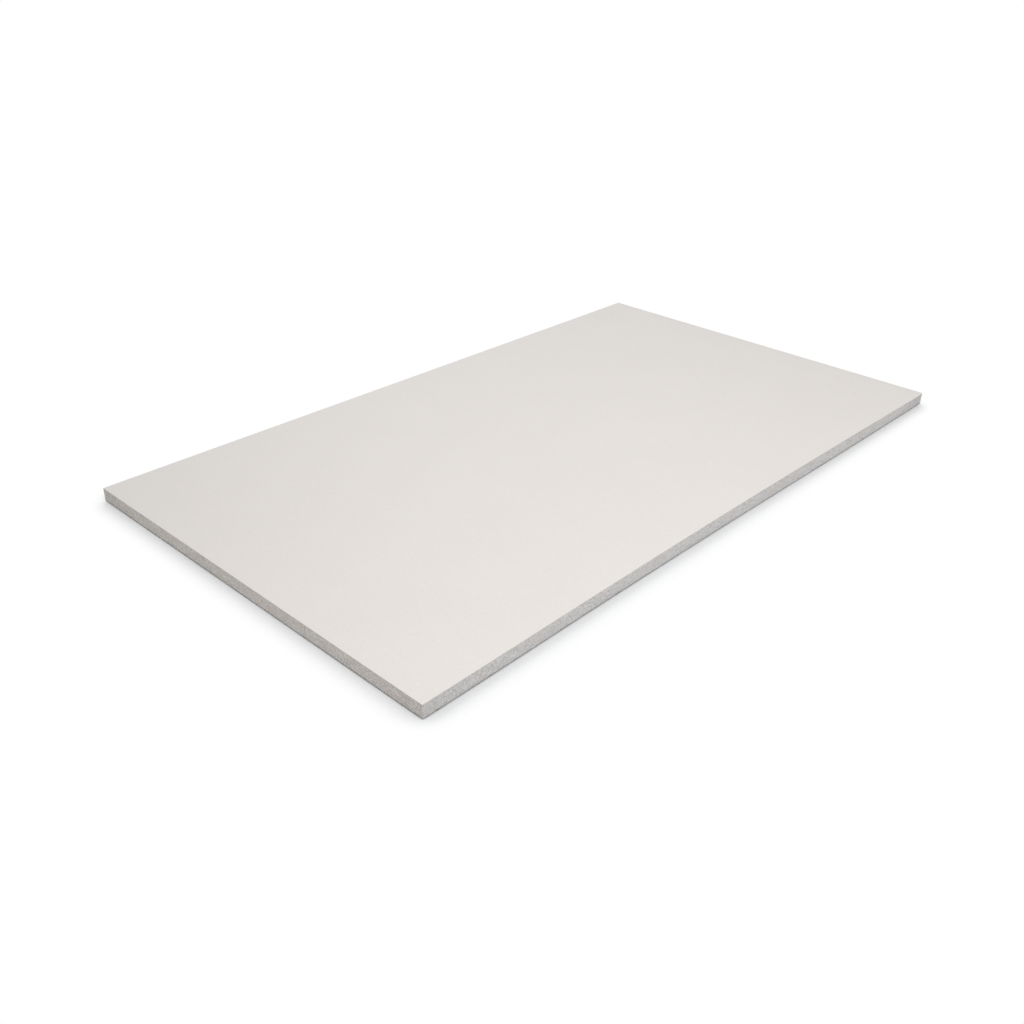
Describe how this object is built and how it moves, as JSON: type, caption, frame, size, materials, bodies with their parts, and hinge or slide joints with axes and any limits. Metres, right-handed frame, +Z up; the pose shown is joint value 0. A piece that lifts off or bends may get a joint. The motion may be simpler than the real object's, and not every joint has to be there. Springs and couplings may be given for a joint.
{
  "type": "drywall sheet",
  "caption": "Flat square-edged panel of gypsum wallboard: a grey gypsum core between a smooth off-white face paper and a grey back paper, for lining walls and ceilings.",
  "frame": {"origin": "centre of the panel's underside", "axes": "+X along the long edges, +Y along the short edges, +Z up out of the face"},
  "size_m": [0.762, 0.442, 0.0127],
  "materials": {
    "face_paper": "smooth ivory paper with a slight sheen",
    "gypsum_core": "rough cut foamed gypsum, pale grey",
    "back_paper": "rough matt grey recycled paper"
  },
  "bodies": {
    "root": {"face_paper": "face_paper", "gypsum_core": "gypsum_core", "back_paper": "back_paper"}
  },
  "joints": []
}
